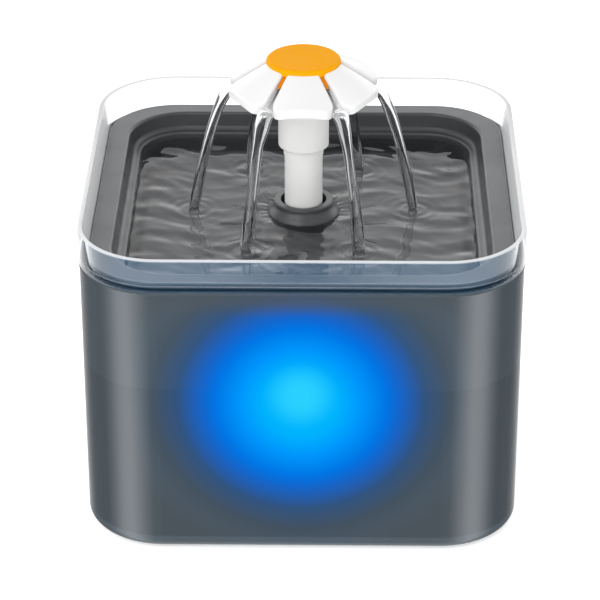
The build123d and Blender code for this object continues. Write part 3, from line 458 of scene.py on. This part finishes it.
def circuit_board():
    """Green solder mask with the board's weave under it."""
    material, tree, shader = new_material("circuit_board")
    weave = noise(tree, 2200.0, 1.0)
    tone = ramp(tree, weave, [(0.35, rgb(20, 74, 44)), (0.65, rgb(32, 96, 58))])
    connect(tree, shader, Base_Color=tone, Roughness=0.35, Coat_Weight=0.4)
    connect(tree, shader, Normal=bump(tree, weave, 0.3, 0.02 * MM))
    return material


def lamp_plastic(name, colour, glow, strength, roughness):
    """Tinted plastic that the lamp lights from inside."""
    material, tree, shader = new_material(name)
    cloud = noise(tree, 220.0, 2.0)
    tone = ramp(tree, cloud, [(0.3, colour), (0.7, glow)])
    connect(tree, shader, Base_Color=tone, Roughness=roughness, Emission_Color=glow)
    connect(tree, shader, Emission_Strength=strength, Normal=bump(tree, cloud, 0.2, 0.02 * MM))
    return material


def pistil_plastic():
    """Orange plastic. The thin wedges under the disc are painted a deeper tone, as shade under the disc."""
    orange = rgb(226, 153, 6)
    material = moulded_plastic("pistil_orange", orange, 0.58, tone=0.025, depth=0.008 * MM, shine=0.04)
    tree = material.node_tree
    shader = tree.nodes["Principled BSDF"]
    tone = shader.inputs["Base Color"].links[0].from_socket
    # Painted shade: the wedges under the disc are darker orange
    wedge = map_range(tree, axes(tree)[2], DISC_FOOT_Z - 0.5 * MM, DISC_FOOT_Z, 1.0, 0.0)
    connect(tree, shader, Base_Color=mix_colour(tree, wedge, tone, rgb(216, 122, 3)))
    return material


def dress(node, material):
    """Gives a CAD node its material."""
    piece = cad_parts[node]
    for slot in piece.material_slots:
        slot.material = material


tank_grey = tank_plastic()
collar_clear = clear_plastic()
tray_grey = moulded_plastic("tray_grey", rgb(50, 52, 55), 0.36, grain=2400.0, depth=0.012 * MM, shine=0.65)
cover_grey = moulded_plastic("cover_grey", rgb(78, 80, 83), 0.48)
frame_white = moulded_plastic("frame_white", rgb(228, 229, 230), 0.45)
petal_white = moulded_plastic("petal_white", rgb(219, 219, 219), 0.36, tone=0.01, depth=0.008 * MM)
# Stem and riser: the petals' white plastic painted paler, as light that lifts the shade under the petals
stem_white_painted_light = moulded_plastic("stem_white_painted_light", rgb(232, 231, 229), 0.36, tone=0.01, depth=0.008 * MM)
riser_white_painted_light = moulded_plastic("riser_white_painted_light", rgb(236, 235, 233), 0.36, tone=0.012, depth=0.008 * MM)
pistil_orange = pistil_plastic()
impeller_white = moulded_plastic("impeller_white", rgb(232, 232, 230), 0.4)
pump_black = moulded_plastic("pump_black", rgb(34, 35, 37), 0.42)
shutter_grey = moulded_plastic("shutter_grey", rgb(96, 98, 101), 0.45)
rubber_black = moulded_plastic("rubber_black", rgb(30, 30, 31), 0.78, grain=1200.0, depth=0.04 * MM)
rubber_pale = moulded_plastic("rubber_pale", rgb(205, 210, 214), 0.4, grain=900.0)
ceramic_white = moulded_plastic("ceramic_white", rgb(235, 234, 228), 0.3)
ferrite_black = moulded_plastic("ferrite_black", rgb(48, 48, 52), 0.5, grain=3000.0)
laminations = striped_metal("laminations", rgb(80, 80, 84), rgb(150, 150, 154), 0.5 * MM, 0.4, 0.05 * MM)
copper_wire = striped_metal("copper_wire", rgb(110, 48, 20), rgb(210, 112, 58), 0.3 * MM, 0.35, 0.1 * MM)
blue_led = lamp_plastic("blue_led", rgb(120, 190, 255), rgb(40, 150, 255), strength=6.0, roughness=0.2)
blue_lens = lamp_plastic("blue_lens", rgb(70, 150, 235), rgb(30, 130, 255), strength=2.5, roughness=0.12)

MATERIALS = {
    "tank": tank_grey,
    "foot_pads": rubber_black,
    "cable_grommet": rubber_black,
    "clear_collar": collar_clear,
    "tray": tray_grey,
    "filter_cover": cover_grey,
    "filter_frame": frame_white,
    "lower_filter_pad": fibres("felt_lower", rgb(236, 236, 232), 900.0, 0.2 * MM),
    "upper_filter_pad": fibres("felt_upper", rgb(240, 240, 236), 900.0, 0.2 * MM),
    "resin_bed": granules("resin_beads", rgb(170, 110, 40), rgb(214, 158, 74), 1200.0, 0.3 * MM),
    "carbon_bed": granules("carbon_granules", rgb(16, 16, 17), rgb(48, 48, 50), 700.0, 0.5 * MM),
    "pump_housing": pump_black,
    "suction_cups": rubber_pale,
    "stator_core": laminations,
    "stator_coils": copper_wire,
    "shaft_bushes": rubber_black,
    "impeller_shaft": ceramic_white,
    "rotor_magnet": ferrite_black,
    "impeller": impeller_white,
    "impeller_cover": pump_black,
    "intake_cover": pump_black,
    "flow_shutter": shutter_grey,
    "prefilter_sponge": open_foam("black_sponge", rgb(52, 52, 54)),
    "led_board": circuit_board(),
    "led_emitters": blue_led,
    "led_lens": blue_lens,
    "pump_gland": rubber_black,
    "outlet_coupler": rubber_pale,
    "riser_tube": riser_white_painted_light,
    "flower_stem": stem_white_painted_light,
    "petals": petal_white,
    "pistil_cap": pistil_orange,
}
for node_name, node_material in MATERIALS.items():
    dress(node_name, node_material)

# ---------------------------------------------------------------- water


def mesh_piece(name, vertices, faces, material, body):
    """A smooth mesh object, which rides on a body if one is given."""
    mesh = bpy.data.meshes.new(name)
    mesh.from_pydata([tuple(vertex) for vertex in vertices], [], faces)
    mesh.materials.append(material)
    mesh.shade_smooth()
    piece = bpy.data.objects.new(name, mesh)
    bpy.context.collection.objects.link(piece)
    if body:
        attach(piece, body)
    return piece


def grid_faces(rows, columns, close_rows=False, close_columns=False):
    """Quads between neighbouring points of a grid that is listed row after row."""
    faces = []
    for row in range(rows if close_rows else rows - 1):
        here = row * columns
        there = (row + 1) % rows * columns
        for column in range(columns if close_columns else columns - 1):
            after = (column + 1) % columns
            faces.append((here + column, here + after, there + after, there + column))
    return faces


def basin_reach(angle):
    """Distance from the centre to the basin's wall, a square with round corners, in a direction."""
    direction = np.array([abs(cos(angle)), abs(sin(angle))])
    straight = BASIN_HALF - BASIN_CORNER
    reach = BASIN_HALF / max(direction)
    if min(direction) * reach > straight:
        along = direction.sum() * straight
        reach = along + sqrt(along**2 - 2 * straight**2 + BASIN_CORNER**2)
    return reach


def stream_angle(turn):
    """Direction of a stream from the centre."""
    return -pi / 2 + pi / STREAM_COUNT + 2 * pi * turn / STREAM_COUNT


def landing(turn):
    """Where a stream meets the water."""
    angle = stream_angle(turn)
    return LANDING_RADIUS * cos(angle), LANDING_RADIUS * sin(angle)


LANDINGS = [landing(turn) for turn in range(STREAM_COUNT)]
wave_angles = rng.normal(pi / 2, WAVE_SPREAD, WAVE_COUNT)
wave_lengths = rng.uniform(WAVE_SHORTEST, WAVE_LONGEST, WAVE_COUNT)
wave_phases = rng.uniform(0, 2 * pi, WAVE_COUNT)
wave_scale = (wave_lengths / WAVE_REFERENCE) ** 1.1
wave_heights = WAVE_RISE * wave_scale * rng.uniform(0.5, 1.3, WAVE_COUNT)


def water_height(x, y):
    """Height of the ripples over the still level: bent waves, and rings round each landing."""
    bend_x = x + BEND_X * np.sin(y * BEND_X_RATE + 1.0)
    bend_y = y + BEND_Y * np.sin(x * BEND_Y_RATE + 0.4)
    height = np.zeros_like(x)
    for angle, length, phase, rise in zip(wave_angles, wave_lengths, wave_phases, wave_heights):
        along = bend_x * cos(angle) + bend_y * sin(angle)
        height += rise * np.sin(2 * pi * along / length + phase)
    for spot_x, spot_y in LANDINGS:
        away = np.hypot(x - spot_x, y - spot_y)
        rings = np.cos(2 * pi * away / RING_PITCH) * np.exp(-away / RING_REACH)
        height += RING_RISE * rings * (1 - np.exp(-((away / RING_START) ** 2)))
        height += SPLASH_RISE * np.exp(-((away / SPLASH_RADIUS) ** 2))
    return height


def tray_water():
    """The pool in the tray: a surface from the boss to the basin's wall, a little lower at both."""
    around = 540
    across = 120
    shares = np.linspace(0.0, 1.0, across)
    vertices = []
    for step in range(around):
        angle = 2 * pi * step / around
        radius = BOSS_RADIUS + (basin_reach(angle) - BOSS_RADIUS) * shares
        x = radius * cos(angle)
        y = radius * sin(angle)
        edge = np.minimum(radius - BOSS_RADIUS, radius[-1] - radius)
        still = 1 - np.exp(-edge / EDGE_CALM)
        swell = 1 + 0.6 * sin(9 * angle + 1.0) * sin(23 * angle)
        dip = EDGE_DIP * swell * np.exp(-edge / EDGE_REACH)
        z = WATER_Z + water_height(x, y) * still - dip
        vertices.extend(zip(x, y, z))
    faces = grid_faces(around, across, close_rows=True)
    mesh_piece("tray_water", vertices, faces, water_clear("pool_water", POOL_TINT), "tray")


def stream_path(share):
    """Distance from the centre and height of a stream, from the channel (0) to the pool (1)."""
    top = CHANNEL_END_Z + LAYER_RISE
    if share < CHANNEL_SHARE:
        radius = CHANNEL_START + (CHANNEL_END - CHANNEL_START) * share / CHANNEL_SHARE
        return radius, top + (CHANNEL_END - radius) * tan(CHANNEL_SLOPE)
    fall_share = (share - CHANNEL_SHARE) / (1 - CHANNEL_SHARE)
    run = LANDING_RADIUS - CHANNEL_END
    drop = CHANNEL_END_Z - WATER_Z
    slope_drop = run * tan(CHANNEL_SLOPE)
    radius = CHANNEL_END + run * fall_share
    return radius, top - slope_drop * fall_share - (drop - slope_drop) * fall_share**2


def stream_size(fall, phase):
    """Half width, half thickness and the outer side's bulge, at a share of the fall."""
    pinch = 1 - 0.16 * exp(-(((fall - 0.55) / 0.2) ** 2))
    sheet = SHEET_HALF_WIDTH * (1 - exp(-fall / 0.05)) * exp(-((fall / 0.34) ** 2))
    half_width = STREAM_HALF_WIDTH + STREAM_WIDENING * fall + sheet
    half_width *= pinch * (1 + 0.05 * sin(22 * fall + phase))
    thickness = STREAM_HALF_THICKNESS + STREAM_ROUNDING * (1 - exp(-fall / 0.2))
    thickness *= pinch * (1 + 0.05 * sin(17 * fall - phase))
    bulge = BULGE_DEPTH * (1 - exp(-fall / 0.04)) * exp(-((fall / 0.3) ** 2))
    return half_width, thickness, bulge


def stream_ring(share, outward, aside, phase):
    """Points round a stream at a share of its length."""
    radius, z = stream_path(share)
    next_radius, next_z = stream_path(min(1.0, share + 0.01))
    last_radius, last_z = stream_path(max(0.0, share - 0.01))
    along = (outward * (next_radius - last_radius) + Vector((0, 0, next_z - last_z))).normalized()
    inward = aside.cross(along)
    fall = max(0.0, (share - CHANNEL_SHARE) / (1 - CHANNEL_SHARE))
    half_width, thickness, bulge = stream_size(fall, phase)
    twist = STREAM_TWIST * sin(4.5 * fall + phase) * fall
    centre = outward * radius + Vector((0, 0, z))
    centre += aside * (STREAM_SWAY * sin(9 * fall + phase) * fall)
    points = []
    for side in range(STREAM_SIDES):
        angle = 2 * pi * side / STREAM_SIDES
        groove = 1 - STREAM_GROOVE * (1 + cos(2 * angle + 2.2 * fall + phase)) * fall
        width = cos(angle) * half_width * groove
        depth = thickness if sin(angle) > 0 else thickness + bulge
        lift = sin(angle) * depth * groove
        point_aside = width * cos(twist) - lift * sin(twist)
        point_inward = width * sin(twist) + lift * cos(twist)
        points.append(centre + aside * point_aside + inward * point_inward)
    return points


def stream(turn, material):
    """One falling stream: a flat layer in the channel, a sheet under the petals, round below."""
    angle = stream_angle(turn)
    outward = Vector((cos(angle), sin(angle), 0))
    aside = Vector((-sin(angle), cos(angle), 0))
    phase = float(rng.uniform(0, 2 * pi))
    vertices = []
    for ring in range(STREAM_RINGS):
        vertices += stream_ring(ring / (STREAM_RINGS - 1), outward, aside, phase)
    faces = grid_faces(STREAM_RINGS, STREAM_SIDES, close_columns=True)
    last_ring = (STREAM_RINGS - 1) * STREAM_SIDES
    faces.append(tuple(reversed(range(STREAM_SIDES))))
    faces.append(tuple(range(last_ring, last_ring + STREAM_SIDES)))
    piece = mesh_piece(f"stream_{turn + 1}", vertices, faces, material, None)
    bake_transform(piece)


tray_water()
stream_material = water_clear("stream_water", STREAM_TINT)
for stream_turn in range(STREAM_COUNT):
    stream(stream_turn, stream_material)

# ---------------------------------------------------------------- studio


def aim(thing, target):
    """Turns a camera or lamp towards a point."""
    direction = Vector(target) - thing.location
    thing.rotation_euler = direction.to_track_quat("-Z", "Y").to_euler()


def add_camera():
    """The camera in front of the fountain, looking down on it."""
    data = bpy.data.cameras.new("camera")
    data.lens = CAMERA_LENS
    data.sensor_width = CAMERA_SENSOR
    data.shift_x = CAMERA_SHIFT_X
    camera = bpy.data.objects.new("camera", data)
    bpy.context.collection.objects.link(camera)
    target = Vector((0, 0, CAMERA_TARGET_Z))
    level = cos(CAMERA_ELEVATION)
    back = Vector((level * sin(CAMERA_TURN), -level * cos(CAMERA_TURN), sin(CAMERA_ELEVATION)))
    camera.location = target + back * CAMERA_DISTANCE
    aim(camera, target)
    bpy.context.scene.camera = camera


def add_softbox(name, location, target, width, height, power):
    """A rectangular lamp that only lights and shows in reflections."""
    data = bpy.data.lights.new(name, "AREA")
    data.shape = "RECTANGLE"
    data.size = width
    data.size_y = height
    data.energy = power
    lamp = bpy.data.objects.new(name, data)
    bpy.context.collection.objects.link(lamp)
    lamp.location = location
    aim(lamp, target)
    lamp.visible_camera = False
    lamp.visible_transmission = False
    return lamp


def add_floor():
    """A plain white floor, a little self-lit so that it stays white, and left out of reflections."""
    half = 20.0
    corners = [(-half, -half), (half, -half), (half, half), (-half, half)]
    material, tree, shader = new_material("floor")
    connect(tree, shader, Base_Color=(0.94, 0.94, 0.94, 1.0), Roughness=0.9)
    connect(tree, shader, Emission_Color=(1.0, 1.0, 1.0, 1.0), Emission_Strength=0.45)
    floor = mesh_piece("floor", [(x, y, -0.1 * MM) for x, y in corners], [(0, 1, 2, 3)], material, None)
    floor.visible_glossy = False


# Light by the turn from the front (0) to the back (1)
PANEL_STOPS = [
    (0.0, 0.1),
    (0.09, 0.35),
    (0.18, 2.0),
    (0.265, 3.7),
    (0.335, 3.2),
    (0.44, 0.8),
    (0.51, 0.08),
    (0.7, 0.2),
    (0.88, 0.8),
    (1.0, 1.0),
]


def side_panels(tree, part):
    """A tall bright panel at each side, from the direction's parts."""
    aside = calculate(tree, "ABSOLUTE", part.outputs["X"])
    towards = calculate(tree, "MULTIPLY", part.outputs["Y"], -1.0)
    turn = calculate(tree, "DIVIDE", calculate(tree, "ARCTAN2", aside, towards), pi)
    return grey_ramp(tree, turn, PANEL_STOPS)


def add_world():
    """Pale room, brighter behind. Its lower half has a panel at each side, for the reflections."""
    world = bpy.data.worlds.new("studio")
    world.use_nodes = True
    tree = world.node_tree
    direction = add_node(tree, "ShaderNodeTexCoord").outputs["Generated"]
    part = add_node(tree, "ShaderNodeSeparateXYZ", {"Vector": direction})
    rise = part.outputs["Z"]
    near = grey_ramp(tree, rise, [(0.0, 0.7), (0.3, 0.65), (0.6, 0.95), (1.0, 0.8)])
    far = grey_ramp(tree, rise, [(0.0, 2.0), (0.25, 2.4), (0.4, 1.75), (0.5, 1.4), (1.0, 0.8)])
    room = mix_colour(tree, map_range(tree, part.outputs["Y"], 0.1, 0.5, smooth=True), near, far)
    under = map_range(tree, rise, -0.78, -0.92, smooth=True)
    low = mix_colour(tree, under, side_panels(tree, part), grey(1.0))
    light = mix_colour(tree, map_range(tree, rise, -0.03, 0.03), low, room)
    background = tree.nodes["Background"]
    tree.links.new(light, background.inputs["Color"])
    background.inputs["Strength"].default_value = 1.0
    bpy.context.scene.world = world


add_camera()
add_floor()
add_world()
add_softbox("key", (-0.8, -1.2, 1.3), (0, 0, 0.1), width=0.9, height=0.9, power=10.0)
fill = add_softbox("fill", (0.1, -1.6, 0.35), (0, 0, 0.12), width=1.6, height=0.8, power=9.0)
fill.visible_glossy = False

scene = bpy.context.scene
scene.view_settings.view_transform = "Standard"
